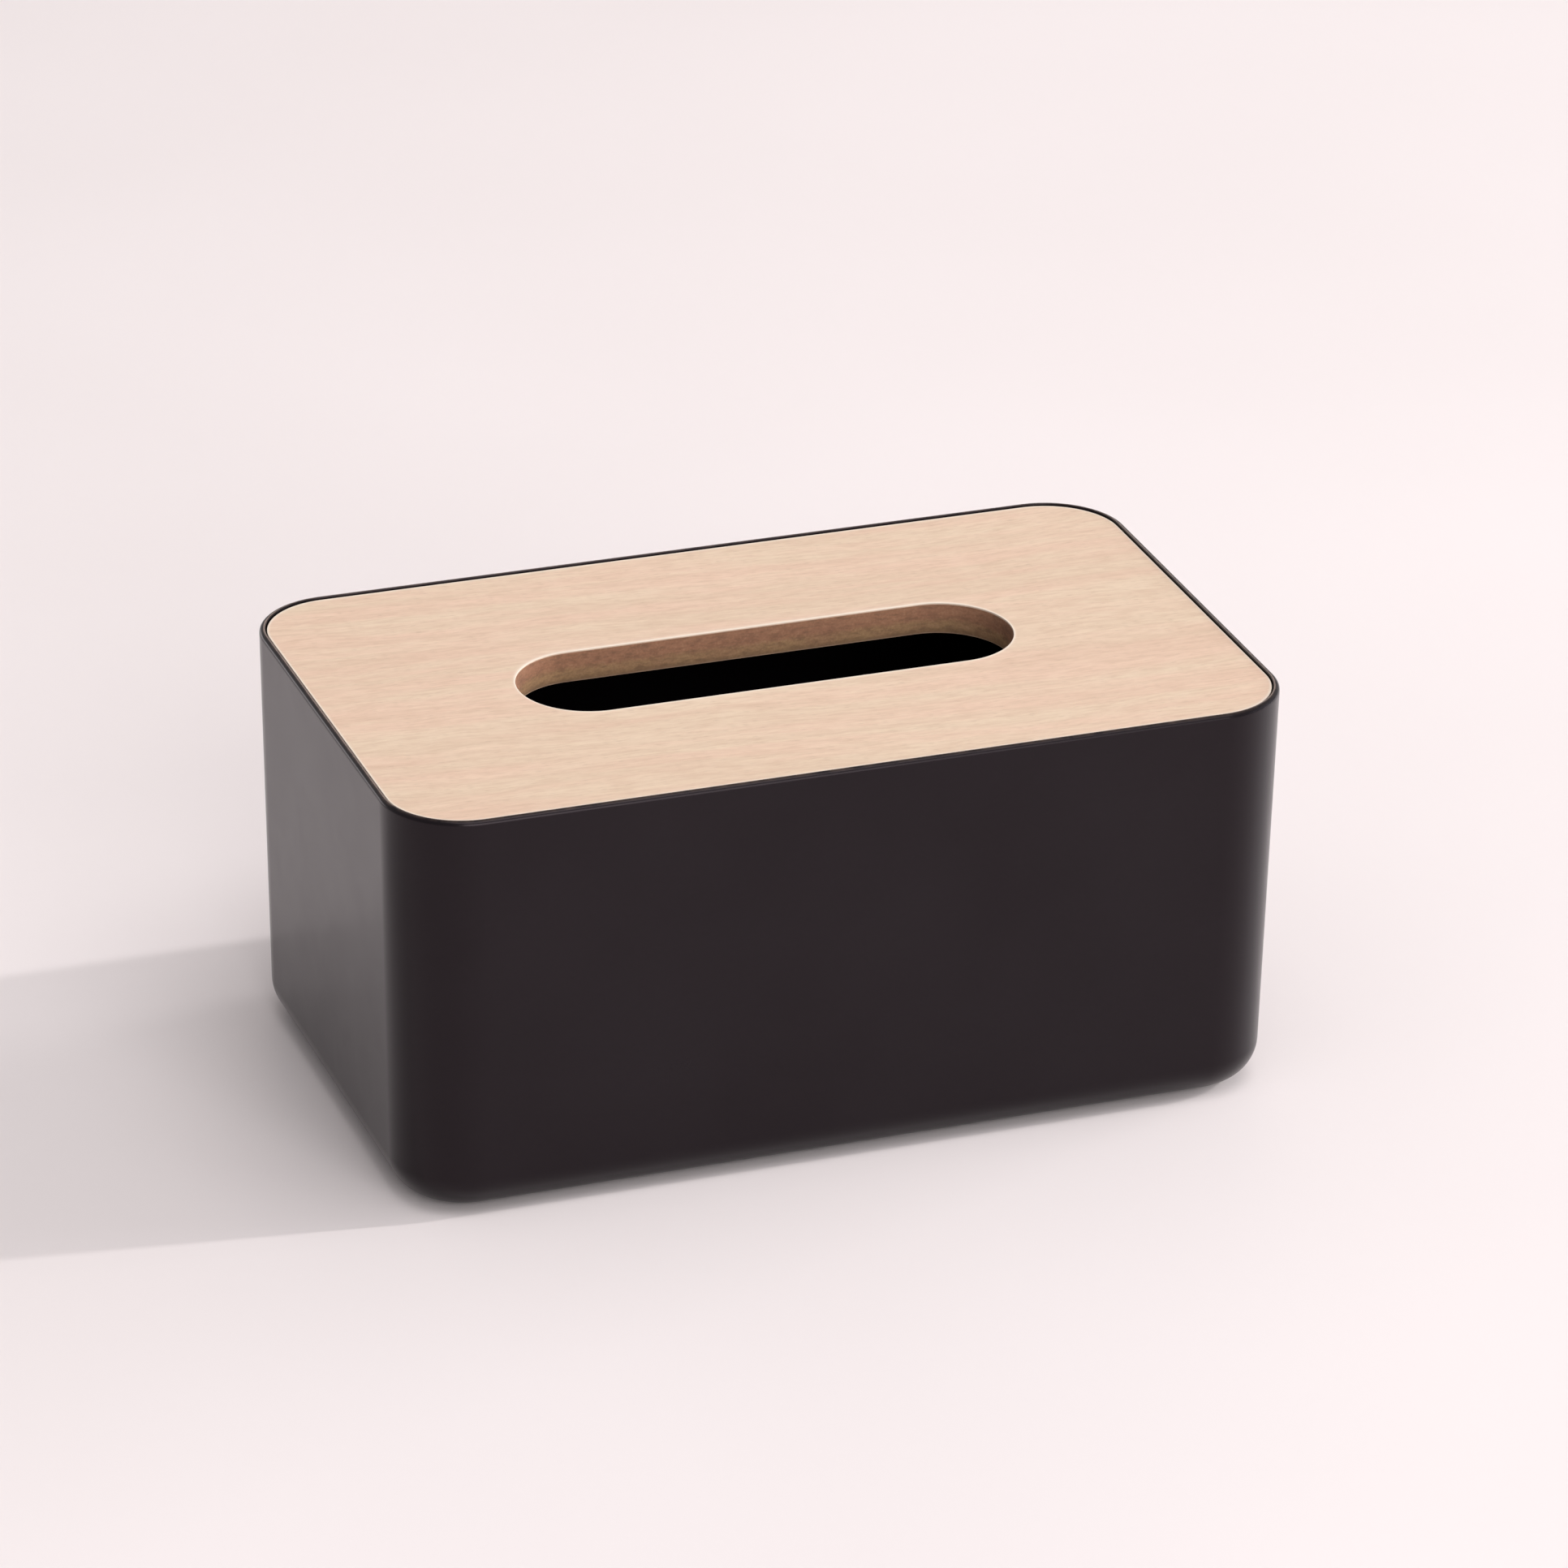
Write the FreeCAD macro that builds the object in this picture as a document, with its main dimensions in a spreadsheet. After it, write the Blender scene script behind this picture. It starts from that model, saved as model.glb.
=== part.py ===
import FreeCAD, Part
import math
import os

import Sketcher

# Rectangular tissue box: a moulded tub with drafted walls and a lift-off board lid
# that drops into a rebate in the tub's mouth and rests on the ledge below it.
# Millimetres.  Frame: origin at the centre of the footprint, on the surface the box
# stands on; +X along the long side, +Y to the back, +Z up.

V = FreeCAD.Vector
doc = FreeCAD.newDocument("tissue_box")

# ---------------------------------------------------------------- driving sizes
sheet = doc.addObject("Spreadsheet::Sheet", "sheet")
SIZES = [
    ("body_length", 250.6, "outer length of the tub at the rim"),
    ("body_width", 150.6, "outer width of the tub at the rim"),
    ("tub_tall", 115.8, "height of the tub itself, underside to rim"),
    ("foot_proud", 0.5, "how far the pads lift the tub off the table"),
    ("draft_deg", 1.0, "draft of the outer and inner walls, degrees"),
    ("corner_round", 22.3, "radius of the vertical corners at the rim"),
    ("base_round", 11.0, "radius between the walls and the underside"),
    ("wall_thick", 2.6, "wall below the rebate, measured level"),
    ("floor_thick", 2.5, "thickness of the tub's floor"),
    ("cavity_round", 8.5, "inner radius between walls and floor"),
    ("lip_thick", 1.7, "lip around the lid, at the rim"),
    ("lip_round_out", 1.3, "rounding of the lip's outer edge"),
    ("lip_round_in", 0.3, "rounding of the lip's inner edge"),
    ("ledge_round", 0.3, "rounding of the ledge's inner edge"),
    ("lid_inset", 2.05, "rim outline to lid outline"),
    ("lid_round", 20.5, "corner radius of the lid"),
    ("lid_sunk", 0.5, "lid top below the rim"),
    ("core_thick", 8.2, "fibreboard core of the lid"),
    ("face_thick", 0.5, "decorative veneer on top"),
    ("back_thick", 0.3, "balancing veneer underneath"),
    ("slot_long", 140.0, "dispensing slot, end to end"),
    ("slot_wide", 39.0, "dispensing slot, across"),
    ("edge_ease", 0.15, "easing of the top veneer's edges"),
    ("pad_round", 6.0, "radius of a foot pad"),
    ("pad_thick", 1.0, "thickness of a foot pad"),
    ("pad_ease", 0.2, "easing of a pad's lower edge"),
    ("pad_seat_round", 6.5, "radius of the seat moulded for a pad"),
    ("pad_seat_deep", 0.5, "depth of the seat moulded for a pad"),
    ("pad_place_x", 94.0, "pad centre from the middle, along X"),
    ("pad_place_y", 45.0, "pad centre from the middle, along Y"),
    ("gate_round", 4.0, "radius of the gate recess under the tub"),
    ("gate_deep", 0.4, "depth of the gate recess"),
]
SHEET = {}
for row, (alias, value, note) in enumerate(SIZES, start=1):
    sheet.set("A%d" % row, note)
    sheet.set("B%d" % row, str(value))
    sheet.setAlias("B%d" % row, alias)
    SHEET[alias] = value
doc.recompute()

# size expressions used more than once
SLOPE = "tan(sheet.draft_deg * 1 deg)"
LID_TALL = "(sheet.core_thick + sheet.face_thick + sheet.back_thick)"
REBATE_DEEP = "(sheet.lid_sunk + sheet.core_thick + sheet.face_thick + sheet.back_thick)"
UNDER = "sheet.foot_proud"
RIM = "(sheet.foot_proud + sheet.tub_tall)"
LEDGE = "(%s - %s)" % (RIM, REBATE_DEEP)
CAVITY_FLOOR = "(sheet.foot_proud + sheet.floor_thick)"
CAVITY_DEEP = "(sheet.tub_tall - sheet.floor_thick)"

problems = []


def value_of(text):
    """The present value of a size expression, used to place edges and first guesses."""
    sheet.set("D1", "=" + text.replace("sheet.", ""))
    sheet.recompute()
    got = sheet.get("D1")
    return float(getattr(got, "Value", got))


# ---------------------------------------------------------------- helpers
def origin_plane(body, role):
    for feature in body.Origin.OriginFeatures:
        if feature.Role == role:
            return feature
    raise RuntimeError("no origin plane " + role)


def new_body(name):
    body = doc.addObject("PartDesign::Body", name)
    body.Label = name
    return body


def new_sketch(body, name, level):
    """A sketch on the body's own XY plane, lifted by an expression."""
    sk = body.newObject("Sketcher::SketchObject", name)
    sk.AttachmentSupport = [(origin_plane(body, "XY_Plane"), "")]
    sk.MapMode = "FlatFace"
    sk.setExpression("AttachmentOffset.Base.z", level)
    return sk


def bind(sk, index, name, text):
    sk.renameConstraint(index, name)
    sk.setExpression("Constraints." + name, text)


def add_rounded_rect(sk, prefix, length, width, radius):
    """Four lines and four tangent arcs, centred on the sketch's origin."""
    a, b, r = value_of(length) / 2, value_of(width) / 2, value_of(radius)
    base = sk.GeometryCount
    for p, q in (
        ((-a + r, -b), (a - r, -b)),
        ((a, -b + r), (a, b - r)),
        ((a - r, b), (-a + r, b)),
        ((-a, b - r), (-a, -b + r)),
    ):
        sk.addGeometry(Part.LineSegment(V(p[0], p[1], 0), V(q[0], q[1], 0)), False)
    for x, y, start, end in (
        (a - r, -b + r, 1.5, 2.0),
        (a - r, b - r, 0.0, 0.5),
        (-a + r, b - r, 0.5, 1.0),
        (-a + r, -b + r, 1.0, 1.5),
    ):
        circle = Part.Circle(V(x, y, 0), V(0, 0, 1), r)
        sk.addGeometry(Part.ArcOfCircle(circle, start * math.pi, end * math.pi), False)
    ln = [base + i for i in range(4)]
    ar = [base + 4 + i for i in range(4)]
    for i in range(4):
        sk.addConstraint(Sketcher.Constraint("Tangent", ln[i], 2, ar[i], 1))
        sk.addConstraint(Sketcher.Constraint("Tangent", ar[i], 2, ln[(i + 1) % 4], 1))
    sk.addConstraint(Sketcher.Constraint("Horizontal", ln[0]))
    sk.addConstraint(Sketcher.Constraint("Horizontal", ln[2]))
    sk.addConstraint(Sketcher.Constraint("Vertical", ln[1]))
    sk.addConstraint(Sketcher.Constraint("Vertical", ln[3]))
    for i in range(1, 4):
        sk.addConstraint(Sketcher.Constraint("Equal", ar[0], ar[i]))
    sk.addConstraint(Sketcher.Constraint("Symmetric", ar[3], 3, ar[1], 3, -1, 1))
    k = sk.addConstraint(Sketcher.Constraint("DistanceX", ln[3], 1, ln[1], 2, 2 * a))
    bind(sk, k, prefix + "long", length)
    k = sk.addConstraint(Sketcher.Constraint("DistanceY", ln[0], 1, ln[2], 2, 2 * b))
    bind(sk, k, prefix + "wide", width)
    k = sk.addConstraint(Sketcher.Constraint("Radius", ar[0], r))
    bind(sk, k, prefix + "round", radius)


def add_stadium(sk, prefix, length, width):
    """A slot with half-round ends, centred on the sketch's origin."""
    r = value_of(width) / 2
    c = value_of(length) / 2 - r
    base = sk.GeometryCount
    sk.addGeometry(Part.LineSegment(V(-c, -r, 0), V(c, -r, 0)), False)
    right = Part.Circle(V(c, 0, 0), V(0, 0, 1), r)
    sk.addGeometry(Part.ArcOfCircle(right, -0.5 * math.pi, 0.5 * math.pi), False)
    sk.addGeometry(Part.LineSegment(V(c, r, 0), V(-c, r, 0)), False)
    left = Part.Circle(V(-c, 0, 0), V(0, 0, 1), r)
    sk.addGeometry(Part.ArcOfCircle(left, 0.5 * math.pi, 1.5 * math.pi), False)
    for i in range(4):
        sk.addConstraint(Sketcher.Constraint("Tangent", base + i, 2, base + (i + 1) % 4, 1))
    sk.addConstraint(Sketcher.Constraint("Horizontal", base))
    sk.addConstraint(Sketcher.Constraint("Equal", base + 1, base + 3))
    sk.addConstraint(Sketcher.Constraint("Symmetric", base + 1, 3, base + 3, 3, -1, 1))
    k = sk.addConstraint(Sketcher.Constraint("DistanceX", base + 3, 3, base + 1, 3, 2 * c))
    bind(sk, k, prefix + "span", "%s - %s" % (length, width))
    k = sk.addConstraint(Sketcher.Constraint("Radius", base + 1, r))
    bind(sk, k, prefix + "round", "%s / 2" % width)


def add_circle(sk, prefix, sign_x, x, sign_y, y, radius):
    """A circle whose centre lies sign * distance from the sketch's origin."""
    cx, cy, r = value_of(x) * sign_x, value_of(y) * sign_y, value_of(radius)
    g = sk.addGeometry(Part.Circle(V(cx, cy, 0), V(0, 0, 1), r), False)
    for sign, text, kind in ((sign_x, x, "DistanceX"), (sign_y, y, "DistanceY")):
        name = prefix + ("at_x" if kind == "DistanceX" else "at_y")
        size = value_of(text)
        if sign > 0:
            k = sk.addConstraint(Sketcher.Constraint(kind, -1, 1, g, 3, size))
        else:
            k = sk.addConstraint(Sketcher.Constraint(kind, g, 3, -1, 1, size))
        bind(sk, k, name, text)
    k = sk.addConstraint(Sketcher.Constraint("Radius", g, r))
    bind(sk, k, prefix + "round", radius)


def inward(point, length, width, radius):
    """How far a point lies inside a rounded rectangle's outline, seen from above."""
    dx = abs(point.x) - (length / 2 - radius)
    dy = abs(point.y) - (width / 2 - radius)
    if dx > 0 and dy > 0:
        return radius - math.hypot(dx, dy)
    return radius - max(dx, dy)


def edges_on(shape, height, length, width, radius):
    """Names of the edges at a height that follow a rounded rectangle's outline."""
    names = []
    for i, edge in enumerate(shape.Edges, start=1):
        points = edge.discretize(7)
        if all(
            abs(p.z - height) < 0.01 and abs(inward(p, length, width, radius)) < 0.02
            for p in points
        ):
            names.append("Edge%d" % i)
    return names


def add_fillet(body, name, base, names, radius):
    if len(names) < 4:
        problems.append("%s: found %d edges" % (name, len(names)))
    f = body.newObject("PartDesign::Fillet", name)
    f.Base = (base, names)
    f.setExpression("Radius", radius)
    doc.recompute()
    return f


def add_pad(body, name, profile, length):
    f = body.newObject("PartDesign::Pad", name)
    f.Profile = profile
    f.Type = "Length"
    f.setExpression("Length", length)
    doc.recompute()
    return f


def add_pocket(body, name, profile, length, upward):
    before = body.Tip.Shape.Volume
    f = body.newObject("PartDesign::Pocket", name)
    f.Profile = profile
    f.Type = "Length"
    f.setExpression("Length", length)
    f.Reversed = upward
    doc.recompute()
    if not f.Shape.Volume < before - 1.0:
        problems.append(name + " removed nothing")
    return f


# ---------------------------------------------------------------- tub
def outline(depth, inset):
    """Length, width and corner radius of the drafted tub at a depth below the rim."""
    step = "(%s * %s + %s)" % (depth, SLOPE, inset)
    return (
        "sheet.body_length - 2 * %s" % step,
        "sheet.body_width - 2 * %s" % step,
        "sheet.corner_round - %s" % step,
    )


def faces_between(shape, low, high):
    """Names of the faces that reach exactly from one height to another."""
    return [
        "Face%d" % i
        for i, face in enumerate(shape.Faces, start=1)
        if abs(face.BoundBox.ZMin - low) < 1e-3 and abs(face.BoundBox.ZMax - high) < 1e-3
    ]


def add_draft(body, name, base, faces, neutral, reverse):
    f = body.newObject("PartDesign::Draft", name)
    f.Base = (base, faces)
    f.NeutralPlane = (base, neutral)
    f.Reversed = reverse
    f.setExpression("Angle", "sheet.draft_deg")
    doc.recompute()
    return f


under_z, rim_z, ledge_z, cavity_z = (
    value_of(UNDER),
    value_of(RIM),
    value_of(LEDGE),
    value_of(CAVITY_FLOOR),
)
RIM_SIZE = ("sheet.body_length", "sheet.body_width", "sheet.corner_round")
BASE_SIZE = outline("sheet.tub_tall", "0")
MOUTH_SIZE = outline(REBATE_DEEP, "sheet.wall_thick")
FLOOR_SIZE = outline(CAVITY_DEEP, "sheet.wall_thick")
REBATE_SIZE = (
    "sheet.body_length - 2 * sheet.lip_thick",
    "sheet.body_width - 2 * sheet.lip_thick",
    "sheet.corner_round - sheet.lip_thick",
)


def sizes(texts):
    return [value_of(x) for x in texts]


tub = new_body("tub")

# outer block, drawn at the rim and extended down, then drafted so that it narrows downwards
rim = new_sketch(tub, "tub_rim_outline", RIM)
add_rounded_rect(rim, "rim_", *RIM_SIZE)
doc.recompute()
block = tub.newObject("PartDesign::Pad", "tub_block")
block.Profile = rim
block.Type = "Length"
block.Reversed = True
block.setExpression("Length", "sheet.tub_tall")
doc.recompute()
outer_draft = add_draft(
    tub,
    "tub_outer_draft",
    block,
    faces_between(block.Shape, under_z, rim_z),
    faces_between(block.Shape, rim_z, rim_z),
    True,
)
if not outer_draft.Shape.Volume < block.Shape.Volume:
    problems.append("tub_outer_draft widens the base")

# rebate that takes the lid, open at the rim; its floor is the ledge
mouth = new_sketch(tub, "tub_rebate_outline", RIM)
add_rounded_rect(mouth, "rebate_", *REBATE_SIZE)
doc.recompute()
rebate = add_pocket(tub, "tub_rebate", mouth, REBATE_DEEP, False)

# cavity below the ledge, with the same draft as the outside
hollow = new_sketch(tub, "tub_cavity_outline", LEDGE)
add_rounded_rect(hollow, "cavity_", *MOUTH_SIZE)
doc.recompute()
cavity = add_pocket(tub, "tub_cavity", hollow, "%s - %s" % (LEDGE, CAVITY_FLOOR), False)
inner_draft = add_draft(
    tub,
    "tub_inner_draft",
    cavity,
    faces_between(cavity.Shape, cavity_z, ledge_z),
    faces_between(cavity.Shape, ledge_z, ledge_z),
    False,
)
if not inner_draft.Shape.Volume > cavity.Shape.Volume:
    problems.append("tub_inner_draft thins the walls")

base_round = add_fillet(
    tub,
    "tub_base_round",
    inner_draft,
    edges_on(inner_draft.Shape, under_z, *sizes(BASE_SIZE)),
    "sheet.base_round",
)
cavity_round = add_fillet(
    tub,
    "tub_cavity_round",
    base_round,
    edges_on(base_round.Shape, cavity_z, *sizes(FLOOR_SIZE)),
    "sheet.cavity_round",
)
ledge_round = add_fillet(
    tub,
    "tub_ledge_round",
    cavity_round,
    edges_on(cavity_round.Shape, ledge_z, *sizes(MOUTH_SIZE)),
    "sheet.ledge_round",
)
lip_outer = add_fillet(
    tub,
    "tub_lip_round_outer",
    ledge_round,
    edges_on(ledge_round.Shape, rim_z, *sizes(RIM_SIZE)),
    "sheet.lip_round_out",
)
lip_inner = add_fillet(
    tub,
    "tub_lip_round_inner",
    lip_outer,
    edges_on(lip_outer.Shape, rim_z, *sizes(REBATE_SIZE)),
    "sheet.lip_round_in",
)

# seats for the foot pads, and the shallow recess round the moulding gate
seats = new_sketch(tub, "pad_seats", UNDER)
for name, sx, sy in (
    ("front_left_", -1, -1),
    ("front_right_", 1, -1),
    ("back_left_", -1, 1),
    ("back_right_", 1, 1),
):
    add_circle(seats, name, sx, "sheet.pad_place_x", sy, "sheet.pad_place_y", "sheet.pad_seat_round")
doc.recompute()
seat_pocket = add_pocket(tub, "tub_pad_seats", seats, "sheet.pad_seat_deep", True)

gate = new_sketch(tub, "gate_outline", UNDER)
g = gate.addGeometry(Part.Circle(V(0, 0, 0), V(0, 0, 1), SHEET["gate_round"]), False)
gate.addConstraint(Sketcher.Constraint("Coincident", g, 3, -1, 1))
k = gate.addConstraint(Sketcher.Constraint("Radius", g, SHEET["gate_round"]))
bind(gate, k, "gate_round", "sheet.gate_round")
doc.recompute()
gate_pocket = add_pocket(tub, "tub_gate_recess", gate, "sheet.gate_deep", True)


# ---------------------------------------------------------------- lid
LID_SIZE = (
    "sheet.body_length - 2 * sheet.lid_inset",
    "sheet.body_width - 2 * sheet.lid_inset",
    "sheet.lid_round",
)


def lid_layer(name, level, thick):
    """One layer of the lid: the lid's outline with the dispensing slot through it."""
    body = new_body(name)
    sk = new_sketch(body, name + "_outline", level)
    add_rounded_rect(sk, "lid_", *LID_SIZE)
    add_stadium(sk, "slot_", "sheet.slot_long", "sheet.slot_wide")
    doc.recompute()
    add_pad(body, name + "_sheet", sk, thick)
    return body


lid_back = lid_layer("lid_backing_veneer", LEDGE, "sheet.back_thick")
lid_core = lid_layer("lid_core", "%s + sheet.back_thick" % LEDGE, "sheet.core_thick")
lid_face = lid_layer(
    "lid_top_veneer", "%s + sheet.back_thick + sheet.core_thick" % LEDGE, "sheet.face_thick"
)

top_z = value_of("%s + %s" % (LEDGE, LID_TALL))
face_edges = edges_on(lid_face.Tip.Shape, top_z, *sizes(LID_SIZE))
# a stadium is a rounded rectangle whose corner radius is half its width
face_edges += edges_on(
    lid_face.Tip.Shape,
    top_z,
    SHEET["slot_long"],
    SHEET["slot_wide"],
    SHEET["slot_wide"] / 2,
)
if len(face_edges) != 12:
    problems.append("lid_top_veneer: %d top edges" % len(face_edges))
add_fillet(lid_face, "lid_top_veneer_ease", lid_face.Tip, face_edges, "sheet.edge_ease")


# ---------------------------------------------------------------- foot pads
def foot_pad(name, sign_x, sign_y):
    body = new_body(name)
    sk = new_sketch(body, name + "_outline", "0")
    add_circle(
        sk, "pad_", sign_x, "sheet.pad_place_x", sign_y, "sheet.pad_place_y", "sheet.pad_round"
    )
    doc.recompute()
    pad = add_pad(body, name + "_disc", sk, "sheet.pad_thick")
    lower = [
        "Edge%d" % i
        for i, e in enumerate(pad.Shape.Edges, start=1)
        if e.BoundBox.ZMax < 1e-4
    ]
    f = body.newObject("PartDesign::Fillet", name + "_ease")
    f.Base = (pad, lower)
    f.setExpression("Radius", "sheet.pad_ease")
    doc.recompute()
    return body


feet = [
    foot_pad("foot_front_left", -1, -1),
    foot_pad("foot_front_right", 1, -1),
    foot_pad("foot_back_left", -1, 1),
    foot_pad("foot_back_right", 1, 1),
]

sheet.clear("D1")
doc.recompute()

# ---------------------------------------------------------------- checks and export
pieces = [tub, lid_core, lid_face, lid_back] + feet
for obj in doc.Objects:
    bad = [s for s in obj.State if s in ("Invalid", "Error")]
    if bad:
        problems.append("%s is %s" % (obj.Name, bad))
for obj in pieces:
    shape = obj.Shape
    if shape.isNull() or not shape.isValid() or len(shape.Solids) != 1:
        problems.append("%s: bad shape" % obj.Label)
if problems:
    raise RuntimeError("; ".join(problems))

os.makedirs("parts", exist_ok=True)
for obj in pieces:
    obj.Shape.exportStep("parts/%s.step" % obj.Label)
    box = obj.Shape.optimalBoundingBox(False, False)
    print(
        "%-20s volume %10.1f  x %8.3f %8.3f  y %8.3f %8.3f  z %8.3f %8.3f"
        % (obj.Label, obj.Shape.Volume, box.XMin, box.XMax, box.YMin, box.YMax, box.ZMin, box.ZMax)
    )
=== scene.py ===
import math

import bpy
import numpy as np
from mathutils import Matrix, Vector
from mathutils.geometry import delaunay_2d_cdt


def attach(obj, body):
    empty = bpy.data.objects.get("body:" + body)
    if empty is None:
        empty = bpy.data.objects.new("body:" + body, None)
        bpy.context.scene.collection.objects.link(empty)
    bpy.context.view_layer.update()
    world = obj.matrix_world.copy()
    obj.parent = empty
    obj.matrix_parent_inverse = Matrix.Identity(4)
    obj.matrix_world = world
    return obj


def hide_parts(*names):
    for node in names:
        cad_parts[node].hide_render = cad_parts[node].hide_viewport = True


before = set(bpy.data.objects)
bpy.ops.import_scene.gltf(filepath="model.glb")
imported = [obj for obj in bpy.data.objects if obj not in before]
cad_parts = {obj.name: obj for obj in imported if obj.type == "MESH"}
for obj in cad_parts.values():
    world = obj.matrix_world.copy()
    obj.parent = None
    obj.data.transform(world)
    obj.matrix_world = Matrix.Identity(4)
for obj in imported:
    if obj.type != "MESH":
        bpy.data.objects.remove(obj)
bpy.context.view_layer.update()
scene = bpy.context.scene

MM = 0.001

# ---------------------------------------------------------------- camera
# The view: from the left of the front and above, with a long lens and no shift.
camera_data = bpy.data.cameras.new("camera")
camera = bpy.data.objects.new("camera", camera_data)
scene.collection.objects.link(camera)
right = Vector((0.940084, -0.340683, 0.01332))
down = Vector((-0.134052, -0.405259, -0.90432))
ahead = Vector((0.313484, 0.848351, -0.426647))
turn = Matrix((right, -down, -ahead)).transposed()
camera.matrix_world = Matrix.Translation((-0.645459, -1.761848, 0.963029)) @ turn.to_4x4()
camera_data.sensor_fit = "HORIZONTAL"
camera_data.sensor_width = 36.0
camera_data.lens = 175.81
camera_data.clip_start = 0.05
camera_data.clip_end = 60.0
scene.camera = camera


# ---------------------------------------------------------------- outlines
class Outline:
    """A rounded rectangle in millimetres, anticlockwise from above: points, and outward normals."""

    def __init__(self, half_x, half_y, radius, corner_steps, pitch):
        points, normals = [], []
        runs = [2 * (half_y - radius), 2 * (half_x - radius)] * 2
        centres = [(1, 1), (-1, 1), (-1, -1), (1, -1)]
        for k, (sx, sy) in enumerate(centres):
            cx, cy = sx * (half_x - radius), sy * (half_y - radius)
            length = runs[(k + 1) % 4]
            last = corner_steps if length > 1e-6 else corner_steps - 1
            for i in range(last + 1):
                a = math.radians(90 * k + 90 * i / corner_steps)
                n = (math.cos(a), math.sin(a))
                points.append((cx + radius * n[0], cy + radius * n[1]))
                normals.append(n)
            if length > 1e-6:
                n = normals[-1]
                along = (-n[1], n[0])
                count = max(1, round(length / pitch))
                start = points[-1]
                for i in range(1, count):
                    s = length * i / count
                    points.append((start[0] + along[0] * s, start[1] + along[1] * s))
                    normals.append(n)
        self.points = np.array(points)
        self.normals = np.array(normals)

    def __len__(self):
        return len(self.points)

    def at(self, out):
        """The outline moved outwards by out, which may differ from point to point."""
        return self.points + self.normals * np.reshape(out, (-1, 1))


def circle(x, y, radius, steps):
    a = np.arange(steps) * 2 * math.pi / steps
    ring = Outline.__new__(Outline)
    ring.normals = np.column_stack([np.cos(a), np.sin(a)])
    ring.points = ring.normals * radius + (x, y)
    return ring


def arc(u, z, radius, start, end, steps, inside=False):
    """Points (u, z, normal u, normal z) along an arc of a profile. inside is a hollow fillet, whose normals point to its centre."""
    found = []
    for i in range(steps + 1):
        a = math.radians(start + (end - start) * i / steps)
        c, s = math.cos(a), math.sin(a)
        k = -1.0 if inside else 1.0
        found.append((u + radius * c, z + radius * s, k * c, k * s))
    return found


def run(u0, z0, u1, z1, nu, nz, steps):
    """The points between two ends of a straight part of a profile, without the ends."""
    return [
        (u0 + (u1 - u0) * i / steps, z0 + (z1 - z0) * i / steps, nu, nz)
        for i in range(1, steps)
    ]


class Builder:
    """Vertices with their own normals and an edge value, and faces, all in millimetres."""

    def __init__(self):
        self.co, self.no, self.edge, self.faces = [], [], [], []

    def ring(self, outline, u, z, nu, nz, edge=0.0):
        first = len(self.co)
        flat = outline.at(u)
        for p, n in zip(flat, outline.normals):
            self.co.append((p[0], p[1], z))
            length = math.hypot(nu, nz) or 1.0
            self.no.append((n[0] * nu / length, n[1] * nu / length, nz / length))
            self.edge.append(edge)
        return list(range(first, first + len(outline)))

    def bridge(self, a, b):
        count = len(a)
        for i in range(count):
            j = (i + 1) % count
            self.faces.append((a[i], a[j], b[j], b[i]))

    def sweep(self, outline, profile):
        """Sweeps a profile of (u, z, nu, nz, edge) round the outline. Returns the first and last ring."""
        rings = [self.ring(outline, *p) for p in profile]
        for a, b in zip(rings, rings[1:]):
            self.bridge(a, b)
        return rings[0], rings[-1]

    def cap(self, loops, up, pitch, edge=0.0):
        """Fills the flat region between the first loop and the others, which are its holes. Loops are rings of this builder."""
        flat, links, sides = [], [], []
        for loop in loops:
            start = len(flat)
            flat += [self.co[i][:2] for i in loop]
            links += [(start + i, start + (i + 1) % len(loop)) for i in range(len(loop))]
            sides.append(np.array([self.co[i][:2] for i in loop]))
        owner = [i for loop in loops for i in loop]
        z = self.co[loops[0][0]][2]
        low, high = sides[0].min(0), sides[0].max(0)
        if pitch:
            xs = np.linspace(low[0], high[0], max(2, round((high[0] - low[0]) / pitch)) + 1)
            ys = np.linspace(low[1], high[1], max(2, round((high[1] - low[1]) / pitch)) + 1)
            for r, y in enumerate(ys):
                for x in xs + (0.5 * (xs[1] - xs[0]) if r % 2 else 0.0):
                    if not inside(sides[0], x, y) or any(inside(s, x, y) for s in sides[1:]):
                        continue
                    if min(distance(s, x, y) for s in sides) < 0.55 * pitch:
                        continue
                    owner.append(len(self.co))
                    flat.append((x, y))
                    self.co.append((x, y, z))
                    self.no.append((0.0, 0.0, 1.0 if up else -1.0))
                    self.edge.append(edge)
        made = delaunay_2d_cdt([Vector(p) for p in flat], links, [], 0, 1e-7, True)
        places, faces, origins = made[0], made[2], made[3]
        names = [owner[o[0]] for o in origins]
        for f in faces:
            mid = sum((places[i] for i in f), Vector((0, 0))) / len(f)
            if not inside(sides[0], mid.x, mid.y) or any(inside(s, mid.x, mid.y) for s in sides[1:]):
                continue
            tri = [names[i] for i in f]
            a, b, c = (np.array(self.co[i][:2]) for i in tri[:3])
            area = (b[0] - a[0]) * (c[1] - a[1]) - (b[1] - a[1]) * (c[0] - a[0])
            if (area < 0) == up:
                tri.reverse()
            self.faces.append(tuple(tri))

    def piece(self, name, material, body, slot, *nodes):
        mesh = bpy.data.meshes.new(name)
        mesh.from_pydata([tuple(c * MM for c in p) for p in self.co], [], self.faces)
        mesh.polygons.foreach_set("use_smooth", [True] * len(mesh.polygons))
        mesh.update()
        mesh.normals_split_custom_set_from_vertices([Vector(n).normalized() for n in self.no])
        value = mesh.attributes.new("edge", "FLOAT", "POINT")
        value.data.foreach_set("value", np.array(self.edge, np.float32))
        made = bpy.data.objects.new(name, mesh)
        scene.collection.objects.link(made)
        mesh.materials.append(material)
        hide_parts(*nodes)
        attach(made, body)
        return made


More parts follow.
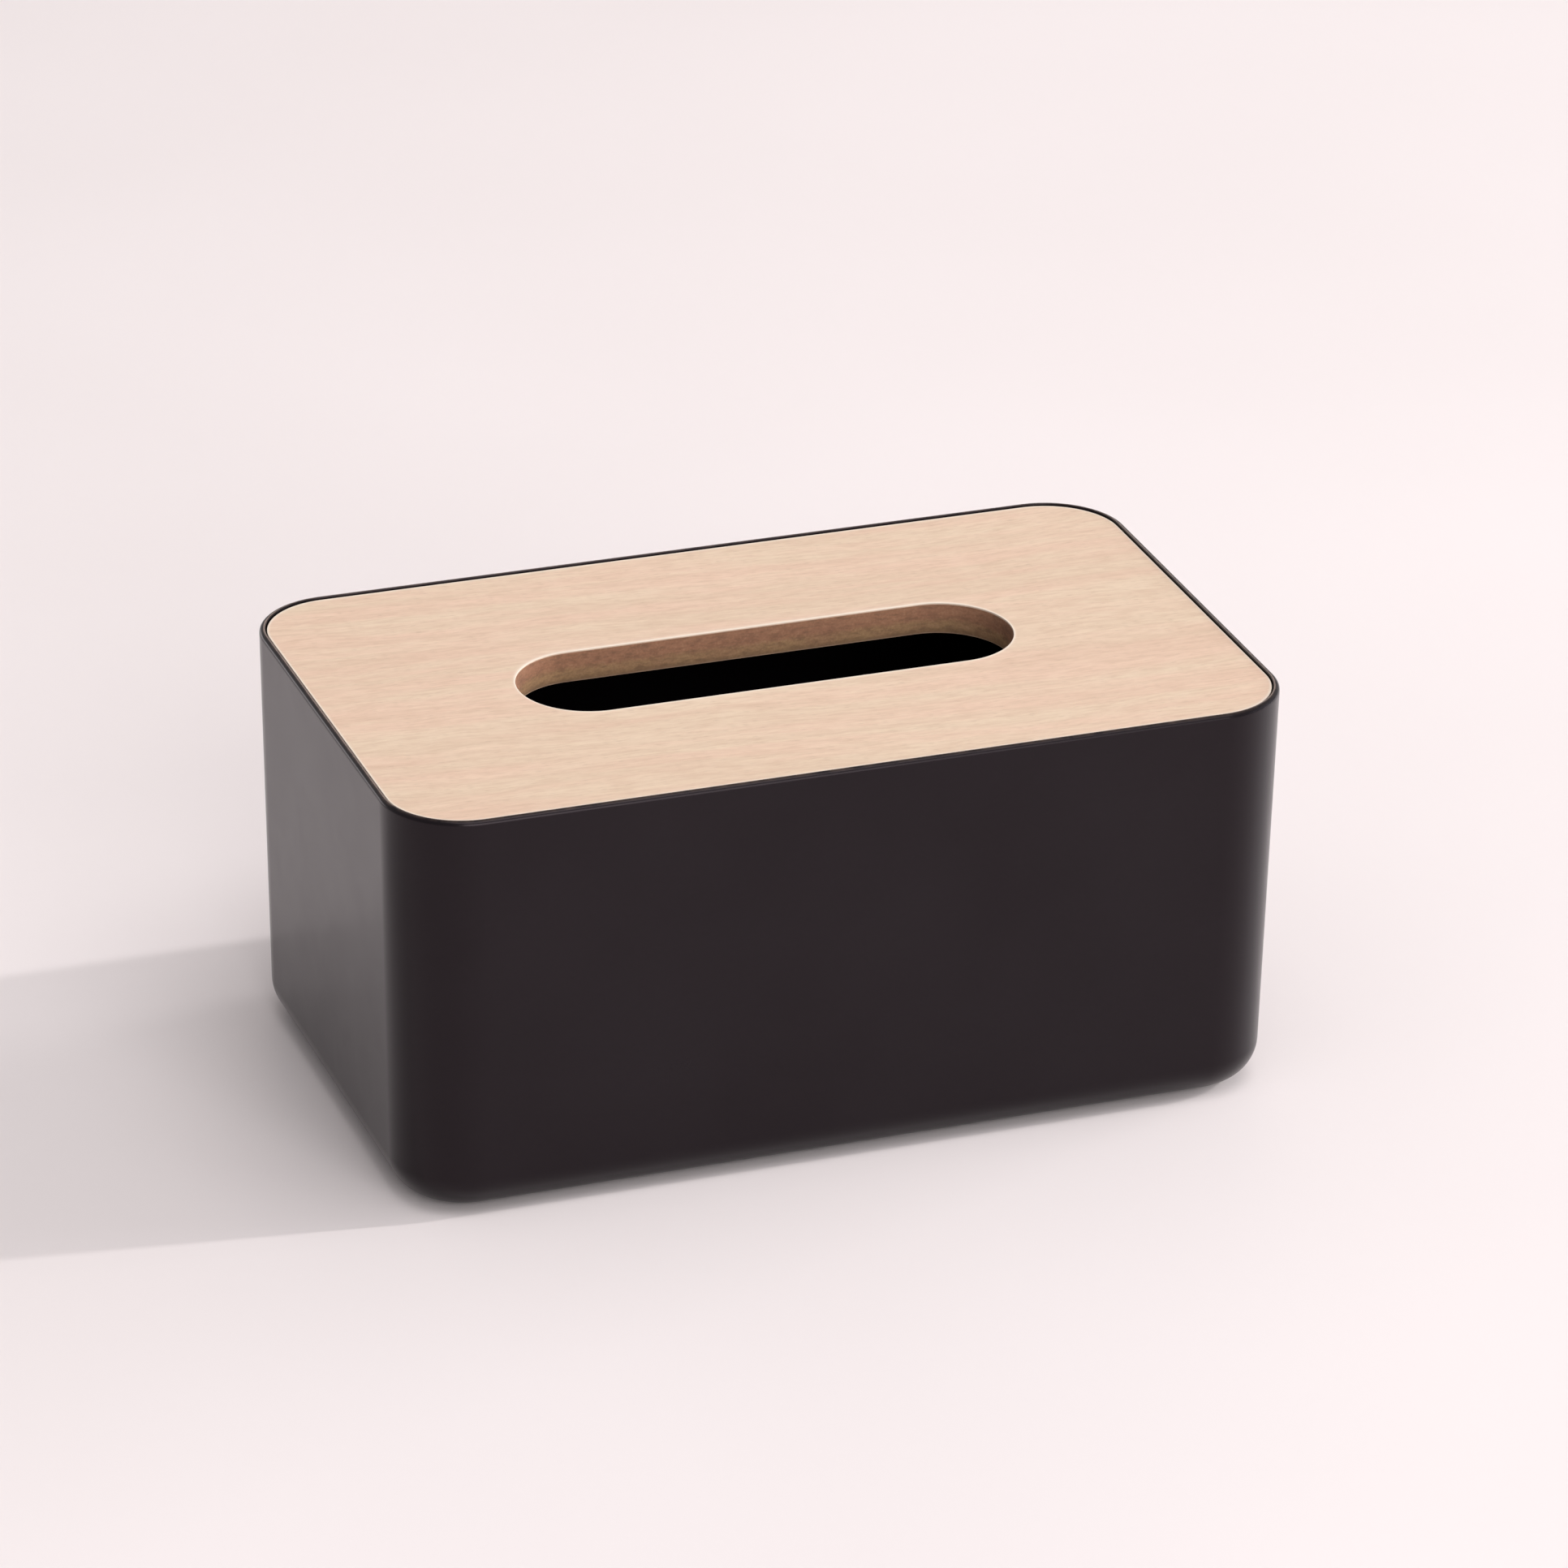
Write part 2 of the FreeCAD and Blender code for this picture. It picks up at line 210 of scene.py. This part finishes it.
def inside(loop, x, y):
    a, b = loop, np.roll(loop, -1, axis=0)
    crosses = (a[:, 1] > y) != (b[:, 1] > y)
    with np.errstate(divide="ignore", invalid="ignore"):
        at = a[:, 0] + (y - a[:, 1]) * (b[:, 0] - a[:, 0]) / (b[:, 1] - a[:, 1])
    return bool(np.count_nonzero(crosses & (x < at)) % 2)


def distance(loop, x, y):
    a, b = loop, np.roll(loop, -1, axis=0)
    d = b - a
    p = np.array((x, y)) - a
    t = np.clip((p * d).sum(1) / np.maximum((d * d).sum(1), 1e-12), 0, 1)
    return float(np.sqrt(((p - d * t[:, None]) ** 2).sum(1)).min())


# ---------------------------------------------------------------- materials
class Nodes:
    """Short calls that build a node tree."""

    def __init__(self, name):
        self.material = bpy.data.materials.new(name)
        self.material.use_nodes = True
        self.tree = self.material.node_tree
        self.tree.nodes.clear()
        self.out = self.tree.nodes.new("ShaderNodeOutputMaterial")
        self.shader = self.tree.nodes.new("ShaderNodeBsdfPrincipled")
        self.tree.links.new(self.shader.outputs[0], self.out.inputs["Surface"])
        coordinates = self.tree.nodes.new("ShaderNodeTexCoord")
        self.object = coordinates.outputs["Object"]

    def put(self, value, socket):
        if isinstance(value, bpy.types.NodeSocket):
            self.tree.links.new(value, socket)
        elif value is not None:
            socket.default_value = value

    def math(self, operation, a, b=None, c=None, clamp=False):
        node = self.tree.nodes.new("ShaderNodeMath")
        node.operation = operation
        node.use_clamp = clamp
        for i, value in enumerate((a, b, c)):
            self.put(value, node.inputs[i]) if value is not None else None
        return node.outputs[0]

    def vector(self, operation, a, b=None):
        node = self.tree.nodes.new("ShaderNodeVectorMath")
        node.operation = operation
        self.put(a, node.inputs[0])
        if b is not None:
            self.put(b, node.inputs[1])
        return node.outputs[0]

    def split(self, vector):
        node = self.tree.nodes.new("ShaderNodeSeparateXYZ")
        self.put(vector, node.inputs[0])
        return node.outputs[0], node.outputs[1], node.outputs[2]

    def join(self, x, y, z):
        node = self.tree.nodes.new("ShaderNodeCombineXYZ")
        for i, value in enumerate((x, y, z)):
            self.put(value, node.inputs[i])
        return node.outputs[0]

    def noise(self, vector, scale=1.0, detail=2.0, rough=0.5, distortion=0.0):
        node = self.tree.nodes.new("ShaderNodeTexNoise")
        node.noise_dimensions = "3D"
        self.put(vector, node.inputs["Vector"])
        node.inputs["Scale"].default_value = scale
        node.inputs["Detail"].default_value = detail
        node.inputs["Roughness"].default_value = rough
        node.inputs["Distortion"].default_value = distortion
        return node.outputs[0]

    def voronoi(self, vector, scale=1.0, feature="F1", randomness=1.0):
        node = self.tree.nodes.new("ShaderNodeTexVoronoi")
        node.voronoi_dimensions = "3D"
        node.feature = feature
        self.put(vector, node.inputs["Vector"])
        node.inputs["Scale"].default_value = scale
        node.inputs["Randomness"].default_value = randomness
        return node.outputs["Distance"], node.outputs["Color"]

    def remap(self, value, low, high, to_low=0.0, to_high=1.0, smooth=False):
        node = self.tree.nodes.new("ShaderNodeMapRange")
        node.interpolation_type = "SMOOTHSTEP" if smooth else "LINEAR"
        node.clamp = True
        self.put(value, node.inputs["Value"])
        for name, number in (("From Min", low), ("From Max", high), ("To Min", to_low), ("To Max", to_high)):
            self.put(number, node.inputs[name])
        return node.outputs[0]

    def mix(self, share, a, b, kind="MIX"):
        node = self.tree.nodes.new("ShaderNodeMix")
        node.data_type = "RGBA"
        node.blend_type = kind
        self.put(share, node.inputs[0])
        self.put(a if isinstance(a, bpy.types.NodeSocket) else (*a, 1.0), node.inputs[6])
        self.put(b if isinstance(b, bpy.types.NodeSocket) else (*b, 1.0), node.inputs[7])
        return node.outputs[2]

    def attribute(self, name):
        node = self.tree.nodes.new("ShaderNodeAttribute")
        node.attribute_name = name
        return node.outputs["Fac"]

    def bump(self, height, strength, depth_mm, before=None):
        node = self.tree.nodes.new("ShaderNodeBump")
        node.inputs["Strength"].default_value = strength
        node.inputs["Distance"].default_value = depth_mm * MM
        self.put(height, node.inputs["Height"])
        if before is not None:
            self.put(before, node.inputs["Normal"])
        return node.outputs[0]

    def finish(self, colour, roughness, normal, ior=1.45, **sockets):
        p = self.shader
        self.put(colour, p.inputs["Base Color"])
        self.put(roughness, p.inputs["Roughness"])
        self.put(normal, p.inputs["Normal"])
        p.inputs["IOR"].default_value = ior
        for name, value in sockets.items():
            p.inputs[name.replace("_", " ")].default_value = value
        return self.material


def satin_plastic():
    """Moulded black plastic: very fine texture, faint handling marks, a few specks of dust, edges rubbed a little
    smoother, and the lip's top and rounds painted a lighter brown, partly rubbed wear and partly painted sheen.
    """
    m = Nodes("satin_black_plastic")
    o = m.object
    cloudy = m.noise(o, 22.0, 3.0, 0.55)
    hands = m.noise(o, 70.0, 4.0, 0.6, 0.6)
    grain = m.noise(o, 4200.0, 2.0, 0.5)
    pebble = m.noise(o, 1500.0, 1.0, 0.5)
    wear_and_sheen = m.math("MULTIPLY", m.attribute("edge"), m.remap(m.noise(o, 260.0, 3.0, 0.6), 0.35, 0.7))
    near, cell = m.voronoi(o, 62.0)
    pick, size, _ = m.split(cell)
    reach = m.math("MULTIPLY_ADD", size, 0.012, 0.010)
    spot = m.math("MULTIPLY", m.math("LESS_THAN", near, reach), m.math("GREATER_THAN", pick, 0.93))
    body = m.mix(m.remap(cloudy, 0.3, 0.7), (0.0042, 0.0030, 0.0040), (0.0060, 0.0046, 0.0058))
    # partly rubbed wear, partly painted sheen: the lip's top and rounds are painted a lighter brown
    body = m.mix(m.math("MULTIPLY", wear_and_sheen, 0.8), body, (0.060, 0.041, 0.032))
    body = m.mix(m.math("MULTIPLY", spot, 0.55), body, (0.30, 0.27, 0.24))
    rough = m.remap(cloudy, 0.25, 0.75, 0.22, 0.26)
    rough = m.math("ADD", rough, m.remap(hands, 0.35, 0.7, -0.015, 0.015))
    rough = m.math("ADD", rough, m.math("MULTIPLY", m.math("SUBTRACT", grain, 0.5), 0.05))
    rough = m.math("SUBTRACT", rough, m.math("MULTIPLY", wear_and_sheen, 0.04))
    rough = m.math("ADD", rough, m.math("MULTIPLY", spot, 0.4), clamp=True)
    normal = m.bump(grain, 0.22, 0.012)
    normal = m.bump(pebble, 0.10, 0.02, normal)
    return m.finish(body, rough, normal, ior=1.39, Specular_Tint=(0.68, 0.565, 0.61, 1.0))


def veneer(name, light, pink, dark, contrast=1.0, rough_low=0.50, rough_high=0.60, shift=0.0):
    """Pale close-grained wood, its grain along X: broad faint bands, fine wavy streaks, small ray flecks and pores."""
    m = Nodes(name)
    x, y, z = m.split(m.object)
    y = m.math("ADD", y, shift)
    flow = m.noise(m.join(m.math("MULTIPLY", x, 7.0), m.math("MULTIPLY", y, 16.0), 0.31), 1.0, 2.0, 0.5)
    small = m.noise(m.join(m.math("MULTIPLY", x, 60.0), m.math("MULTIPLY", y, 130.0), 0.77), 1.0, 2.0, 0.5)
    yy = m.math("ADD", y, m.math("MULTIPLY", m.math("SUBTRACT", flow, 0.5), 0.016))
    yy = m.math("ADD", yy, m.math("MULTIPLY", m.math("SUBTRACT", small, 0.5), 0.0022))
    # the grain runs a little askew, more so at the left end
    yy = m.math("ADD", yy, m.math("MULTIPLY", x, m.math("MULTIPLY_ADD", x, -0.155, 0.050)))

    def stretched(sx, sy, sz, detail, rough=0.5):
        return m.noise(m.join(m.math("MULTIPLY", x, sx), m.math("MULTIPLY", yy, sy), m.math("MULTIPLY", z, sz)), 1.0, detail, rough)

    bands = stretched(4.5, 62.0, 60.0, 2.0, 0.5)
    rings = stretched(10.0, 230.0, 230.0, 2.0, 0.55)
    streaks = stretched(120.0, 900.0, 900.0, 3.0, 0.6)
    mottle = stretched(170.0, 430.0, 430.0, 3.0, 0.6)
    fibres = stretched(320.0, 3200.0, 3200.0, 2.0, 0.6)
    near, cell = m.voronoi(m.join(m.math("MULTIPLY", x, 310.0), m.math("MULTIPLY", yy, 2300.0), m.math("MULTIPLY", z, 2300.0)), 1.0)
    pick, _, _ = m.split(cell)
    fleck = m.math("MULTIPLY", m.remap(near, 0.10, 0.42, 1.0, 0.0, True), m.math("GREATER_THAN", pick, 0.70))
    clouds = stretched(22.0, 170.0, 170.0, 2.0, 0.55)
    tone = m.math("ADD", m.math("MULTIPLY", bands, 0.55), m.math("MULTIPLY", clouds, 0.45))
    colour = m.mix(m.remap(tone, 0.40, 0.61, 0.0, 1.0, True), light, pink)
    colour = m.mix(m.remap(rings, 0.38, 0.70, 0.0, 0.30 * contrast, True), colour, dark)
    colour = m.mix(m.remap(mottle, 0.45, 0.72, 0.0, 0.26 * contrast, True), colour, dark)
    colour = m.mix(m.remap(mottle, 0.45, 0.28, 0.0, 0.30 * contrast, True), colour, tuple(min(0.95, c * 1.06) for c in light))
    colour = m.mix(m.remap(streaks, 0.42, 0.74, 0.0, 0.50 * contrast, True), colour, dark)
    pale = m.remap(streaks, 0.42, 0.26, 0.0, 0.40 * contrast, True)
    colour = m.mix(pale, colour, tuple(min(0.95, c * 1.06) for c in light))
    colour = m.mix(m.remap(fibres, 0.45, 0.75, 0.0, 0.30 * contrast), colour, dark)
    colour = m.mix(m.math("MULTIPLY", fleck, 0.34 * contrast), colour, tuple(c * 0.72 for c in dark))
    # painted highlight: the eased edges (edge attribute) are painted paler, standing in for light caught on their
    # rounds
    painted_edge_highlight = m.math("MULTIPLY", m.attribute("edge"), 0.85)
    colour = m.mix(painted_edge_highlight, colour, tuple(min(0.92, 0.30 + 0.72 * c) for c in light))
    rough = m.remap(streaks, 0.3, 0.7, rough_low, rough_high)
    rough = m.math("ADD", rough, m.math("MULTIPLY", m.math("SUBTRACT", fibres, 0.5), 0.10))
    rough = m.math("ADD", rough, m.math("MULTIPLY", fleck, 0.05), clamp=True)
    height = m.math("ADD", m.math("MULTIPLY", streaks, -0.5), m.math("MULTIPLY", fibres, -0.5))
    height = m.math("SUBTRACT", height, m.math("MULTIPLY", fleck, 0.35))
    return m.finish(colour, rough, m.bump(height, 0.35, 0.025), ior=1.44)


def board():
    """The lid's pressed core where it is cut: fine fibres, redder in its upper half and browner below, with faint lines
    left by the cutter, and painted shade darkening its lowest two millimetres at the bottom of the slot.
    """
    m = Nodes("pressed_board")
    x, y, z = m.split(m.object)
    fibre = m.noise(m.object, 1500.0, 3.0, 0.6)
    clump = m.noise(m.object, 420.0, 3.0, 0.6)
    blotch = m.noise(m.object, 130.0, 2.0, 0.5)
    smear = m.noise(m.join(m.math("MULTIPLY", x, 260.0), m.math("MULTIPLY", y, 260.0), m.math("MULTIPLY", z, 800.0)), 1.0, 3.0, 0.6)
    lines = m.noise(m.join(m.math("MULTIPLY", x, 30.0), m.math("MULTIPLY", y, 30.0), m.math("MULTIPLY", z, 2600.0)), 1.0, 2.0, 0.5)
    height = m.math("ADD", z, m.math("MULTIPLY", m.math("SUBTRACT", clump, 0.5), 0.0022))
    lower = m.remap(height, 0.1118, 0.1096, 0.0, 1.0, True)
    colour = m.mix(lower, (0.350, 0.170, 0.098), (0.355, 0.212, 0.105))
    colour = m.mix(m.remap(blotch, 0.35, 0.7, 0.0, 0.35), colour, (0.31, 0.142, 0.090))
    colour = m.mix(m.remap(smear, 0.40, 0.74, 0.0, 0.62, True), colour, (0.150, 0.082, 0.050))
    colour = m.mix(m.remap(smear, 0.42, 0.26, 0.0, 0.35, True), colour, (0.46, 0.27, 0.165))
    colour = m.mix(m.remap(fibre, 0.40, 0.72, 0.0, 0.38), colour, (0.185, 0.096, 0.056))
    colour = m.mix(m.remap(fibre, 0.42, 0.24, 0.0, 0.22), colour, (0.52, 0.33, 0.195))
    colour = m.mix(m.remap(lines, 0.5, 0.75, 0.0, 0.22), colour, (0.21, 0.112, 0.068))
    # painted shade: the lowest two millimetres of the cut board, at the bottom of the slot, are darkened where shade
    # falls
    colour = m.mix(m.remap(z, 0.1090, 0.1072, 0.0, 0.45, True), colour, (0.13, 0.080, 0.045))
    rough = m.remap(fibre, 0.3, 0.7, 0.72, 0.90)
    relief = m.math("ADD", m.math("MULTIPLY", fibre, 0.6), m.math("MULTIPLY", lines, 0.4))
    return m.finish(colour, rough, m.bump(relief, 0.5, 0.08), ior=1.40)


def rubber():
    """Soft black foot rubber: dull, finely pitted, scuffed a little paler round its lower edge."""
    m = Nodes("foot_rubber")
    o = m.object
    pits = m.noise(o, 3000.0, 3.0, 0.6)
    cloudy = m.noise(o, 300.0, 3.0, 0.55)
    wear_and_sheen = m.math("MULTIPLY", m.attribute("edge"), m.remap(cloudy, 0.3, 0.7, 0.3, 1.0))
    colour = m.mix(m.remap(cloudy, 0.3, 0.7), (0.022, 0.021, 0.022), (0.034, 0.032, 0.032))
    colour = m.mix(m.math("MULTIPLY", wear_and_sheen, 0.5), colour, (0.085, 0.080, 0.076))
    rough = m.remap(pits, 0.3, 0.7, 0.78, 0.94)
    return m.finish(colour, rough, m.bump(pits, 0.4, 0.03), ior=1.50)


def pale_floor():
    """A plain pale table top, very slightly uneven in tone."""
    m = Nodes("pale_floor")
    o = m.object
    wide = m.noise(o, 3.0, 2.0, 0.5)
    fine = m.noise(o, 900.0, 2.0, 0.5)
    colour = m.mix(m.remap(wide, 0.3, 0.7), (0.800, 0.735, 0.738), (0.830, 0.765, 0.770))
    rough = m.remap(fine, 0.3, 0.7, 0.62, 0.70)
    return m.finish(colour, rough, m.bump(fine, 0.05, 0.02), ior=1.45)


plastic = satin_plastic()
face_wood = veneer("beech_face", (0.702, 0.552, 0.412), (0.720, 0.517, 0.396), (0.57, 0.390, 0.280))
# painted shade: the backing's colours are set darker so that its thin cut edge at the bottom of the slot looks shaded;
# its underside gets the same darker colours
shaded_backing_wood = veneer("backing_wood_painted_shade", (0.36, 0.250, 0.168), (0.335, 0.222, 0.148), (0.22, 0.142, 0.094), contrast=1.3, rough_low=0.60, rough_high=0.74, shift=0.37)
core_board = board()
foot_rubber = rubber()

# ---------------------------------------------------------------- the tub
TALL, LOW = 116.3, 0.5
SLOPE = math.radians(1.0)
TAN, COS, SIN = math.tan(SLOPE), math.cos(SLOPE), math.sin(SLOPE)
RIM = Outline(125.3, 75.3, 22.3, 28, 7.0)


def wall_out(z):
    return -(TALL - z) * TAN


def wall_in(z):
    return wall_out(z) - 2.6


def with_edge(points, value):
    return [(*p, value) for p in points]


tub = Builder()
profile = []
# base fillet, from the flat underside up to the outer wall
r = 11.0
zc = LOW + r
zw = zc - r * SIN
profile += with_edge(arc(wall_out(zw) - r * COS, zc, r, -90, -1, 18), 0.0)
# outer wall, and the round at the rim
r = 1.3
zc2 = TALL - r
zw2 = zc2 - r * SIN
profile += with_edge(run(wall_out(zw), zw, wall_out(zw2), zw2, COS, -SIN, 14), 0.0)
for p in arc(wall_out(zw2) - r * COS, zc2, r, -1, 90, 14):
    # the top of the lip, not its outer side, gets the lighter brown: partly rubbed wear, partly painted sheen
    profile.append((*p, min(1.0, max(0.0, (p[3] - 0.72) / 0.24))))
# flat of the rim, inner round, rebate wall
for p in arc(-1.4, TALL - 0.3, 0.3, 90, 180, 6):
    profile.append((*p, max(0.0, p[3]) ** 2))
profile += with_edge(run(-1.7, TALL - 0.3, -1.7, 106.95, -1, 0, 6), 0.0)
# ledge that the lid rests on
profile += with_edge(arc(-1.85, 106.95, 0.15, 0, -90, 4, inside=True), 0.0)
r = 0.3
zc3 = 106.8 - r
zw3 = zc3 + r * SIN
profile += [(wall_in(zw3) + r * COS + 0.12, 106.8, 0, 1, 0.0)]
profile += with_edge(arc(wall_in(zw3) + r * COS, zc3, r, 90, 179, 5), 0.5)
profile += [(wall_in(zw3 - 0.3), zw3 - 0.3, -COS, SIN, 0.0)]
# inner wall and the fillet down to the cavity floor
r = 8.5
zc4 = 3.0 + r
zw4 = zc4 - r * SIN
profile += with_edge(run(wall_in(zw3 - 0.3), zw3 - 0.3, wall_in(zw4), zw4, -COS, SIN, 12), 0.0)
profile += with_edge(arc(wall_in(zw4) - r * COS, zc4, r, -1, -90, 14, inside=True), 0.0)
under, floor_ring = tub.sweep(RIM, profile)


def pocket(builder, x, y, radius, depth, z, steps, soften=0.10, into_up=True):
    """A shallow round recess in a face at height z, whose floor the caller fills with a cap. Returns the ring that
    bounds it in that face and the ring round its floor.
    """
    ring = circle(x, y, radius, steps)
    sign = 1.0 if into_up else -1.0
    prof = [(soften + 0.20, z, 0.0, -sign, 0.0)]
    for i in range(4):
        a = math.radians(90 * i / 3)
        prof.append((soften * (1 - math.sin(a)), z + sign * soften * (1 - math.cos(a)), -math.sin(a), -sign * math.cos(a), 0.35))
    for i in range(4):
        a = math.radians(90 * i / 3)
        prof.append((-soften * (1 - math.cos(a)), z + sign * (depth - soften * (1 - math.sin(a))), -math.cos(a), -sign * math.sin(a), 0.0))
    rings = [builder.ring(ring, *p) for p in prof]
    for a, b in zip(rings, rings[1:]):
        builder.bridge(a[::-1], b[::-1]) if into_up else builder.bridge(a, b)
    return rings[0], rings[-1]


seats = []
for sx in (-1, 1):
    for sy in (-1, 1):
        mouth, seat = pocket(tub, sx * 94.0, sy * 45.0, 6.5, 0.5, LOW, 48)
        tub.cap([seat], up=False, pitch=0)
        seats.append(mouth)
mouth, seat = pocket(tub, 0.0, 0.0, 4.0, 0.4, LOW, 40)
# the stub where the plastic was fed in, cut off short inside its recess
stub = circle(0.0, 0.0, 1.1, 24)
stub_rings = [tub.ring(stub, *p) for p in ((0.12, LOW + 0.4, -0.7, -0.7, 0.0), (0.02, LOW + 0.34, 1.0, -0.2, 0.0), (0.0, LOW + 0.20, 1.0, -0.3, 0.3), (-0.12, LOW + 0.14, 0.2, -1.0, 0.3))]
for a, b in zip(stub_rings, stub_rings[1:]):
    tub.bridge(a[::-1], b[::-1])
tub.cap([seat, stub_rings[0]], up=False, pitch=0)
tub.cap([stub_rings[-1]], up=False, pitch=0)
seats.append(mouth)
tub.cap([under, *seats], up=False, pitch=9.0)

# marks of the ejector pins in the cavity floor
marks = []
for x, y in ((-84, -36), (-84, 36), (-28, -36), (-28, 36), (28, -36), (28, 36), (84, -36), (84, 36)):
    mouth, seat = pocket(tub, x, y, 4.0, 0.12, 3.0, 40, soften=0.05, into_up=False)
    tub.cap([seat], up=True, pitch=0)
    marks.append(mouth)
tub.cap([floor_ring, *marks], up=True, pitch=9.0)
tub_piece = tub.piece("tub_shell", plastic, "tub", "tub_plastic", "tub")

# ---------------------------------------------------------------- the lid's three layers
LID = Outline(123.25, 73.25, 20.5, 28, 7.0)
SLOT = Outline(70.0, 19.5, 19.5, 40, 5.0)


def layer(name, low, high, top_round, low_round, material, slot, node, steps=4, painted_edge_highlight=0.0):
    """One layer of the lid, with its slot. The edges of its upper and lower faces are eased by small rounds."""
    made = Builder()
    def edge_profile(outline):
        # the painted highlight along the eased edge is wider along the lid's length than across it
        wide = 1.0 + 1.1 * outline.normals[:, 1] ** 2
        prof = [(-low_round - width, low, 0, -1, e) for width, e in ((0.8, 0.0), (0.25, 0.0))]
        prof += with_edge(arc(-low_round, low + low_round, low_round, -90, 0, steps), 0.0)
        prof += with_edge(run(0.0, low + low_round, 0.0, high - top_round, 1, 0, max(2, round((high - low) / 1.2))), 0.0)
        prof += with_edge(arc(-top_round, high - top_round, top_round, 0, 90, steps), painted_edge_highlight)
        prof += [(-top_round - width * wide, high, 0, 1, e * painted_edge_highlight) for width, e in ((0.20, 0.85), (0.45, 0.15), (0.9, 0.0))]
        return prof
    bottom_outer, top_outer = made.sweep(LID, edge_profile(LID))
    slot_profile = [(-u, z, -nu, nz, e) for u, z, nu, nz, e in reversed(edge_profile(SLOT))]
    top_slot, bottom_slot = made.sweep(SLOT, slot_profile)
    made.cap([top_outer, top_slot], up=True, pitch=6.0)
    made.cap([bottom_outer, bottom_slot], up=False, pitch=9.0)
    return made.piece(name, material, "lid", slot, node)


backing = layer("lid_backing", 106.8, 107.1, 0.03, 0.12, shaded_backing_wood, "lid_backing", "lid_backing_veneer")
core = layer("lid_board", 107.1, 115.3, 0.04, 0.04, core_board, "lid_board", "lid_core")
# the face's eased edges carry the painted highlight
face = layer("lid_face", 115.3, 115.8, 0.15, 0.03, face_wood, "lid_veneer", "lid_top_veneer", steps=6, painted_edge_highlight=1.0)

# ---------------------------------------------------------------- the feet
for label, sx, sy in (("front_left", -1, -1), ("front_right", 1, -1), ("back_left", -1, 1), ("back_right", 1, 1)):
    foot = Builder()
    ring = circle(sx * 94.0, sy * 45.0, 6.0, 56)
    prof = with_edge(arc(-0.2, 0.2, 0.2, -90, 0, 5), 1.0)
    prof += with_edge(run(0, 0.2, 0, 0.95, 1, 0, 3), 0.0)
    prof += with_edge(arc(-0.05, 0.95, 0.05, 0, 90, 3), 0.0)
    first, last = foot.sweep(ring, prof)
    foot.cap([first], up=False, pitch=1.5)
    foot.cap([last], up=True, pitch=2.0)
    foot.piece("pad_" + label, foot_rubber, "tub", "foot_rubber", "foot_" + label)

# ---------------------------------------------------------------- stage
floor_mesh = bpy.data.meshes.new("floor")
floor_mesh.from_pydata([(-9, -9, 0), (9, -9, 0), (9, 9, 0), (-9, 9, 0)], [], [(0, 1, 2, 3)])
floor = bpy.data.objects.new("floor", floor_mesh)
floor_mesh.materials.append(pale_floor())
scene.collection.objects.link(floor)

world = bpy.data.worlds.new("studio")
scene.world = world
world.use_nodes = True
sky = world.node_tree.nodes["Background"]
sky.inputs["Color"].default_value = (1.0, 0.98, 0.985, 1.0)
sky.inputs["Strength"].default_value = 0.452


def light(name, kind, azimuth, elevation, away, diffuse=True, glossy=True, aim=(0.0, 0.0, 0.0)):
    """A light at a distance from a point of the scene, which shines at that point. Azimuth runs from +X towards +Y."""
    data = bpy.data.lights.new(name, kind)
    made = bpy.data.objects.new(name, data)
    a, e = math.radians(azimuth), math.radians(elevation)
    direction = Vector((math.cos(e) * math.cos(a), math.cos(e) * math.sin(a), math.sin(e)))
    made.location = Vector(aim) + direction * away
    made.rotation_mode = "QUATERNION"
    made.rotation_quaternion = (-direction).to_track_quat("-Z", "Y")
    made.visible_camera = False
    made.visible_diffuse = diffuse
    made.visible_glossy = glossy
    scene.collection.objects.link(made)
    return data


def soft_box(name, azimuth, elevation, away, width, height, radiance, colour, diffuse=True, glossy=True):
    """A rectangular soft box of a given brightness."""
    data = light(name, "AREA", azimuth, elevation, away, diffuse, glossy)
    data.shape = "RECTANGLE"
    data.size, data.size_y = width, height
    data.energy = math.pi * width * height * radiance
    data.color = colour


# a lamp low on the right draws the long pale shadow
key = light("key", "SUN", -8.66, 31.8, 3.0, glossy=False)
key.angle = math.radians(1.6)
key.energy = 1.05
key.color = (1.0, 0.985, 0.97)
# soft boxes in front, overhead and low on the right
soft_box("front", 273.4, 22.7, 4.5, 2.9, 2.9, 3.75, (1.0, 0.99, 0.985))
soft_box("top", 288.6, 73.6, 3.6, 2.3, 2.3, 2.45, (1.0, 0.99, 0.985))
soft_box("side", 0.0, 12.0, 2.6, 1.8, 0.9, 9.6, (1.0, 0.985, 0.975), glossy=False)
soft_box("side_sheen", 0.0, 12.0, 2.6, 1.8, 0.9, 9.0, (0.95, 1.04, 1.16), diffuse=False)
# two cards behind that only show as sheen: one warm and high, one pale and low, which pick out the rim
soft_box("back_card", 71.0, 28.0, 1.8, 0.9, 0.36, 3.4, (1.0, 0.76, 0.64), diffuse=False)
soft_box("low_card", 121.0, 6.0, 2.4, 1.5, 0.5, 2.2, (1.0, 0.96, 0.97), diffuse=False)

scene.view_settings.view_transform = "Standard"
scene.view_settings.look = "None"
scene.view_settings.exposure = 0.0
scene.view_settings.gamma = 1.0
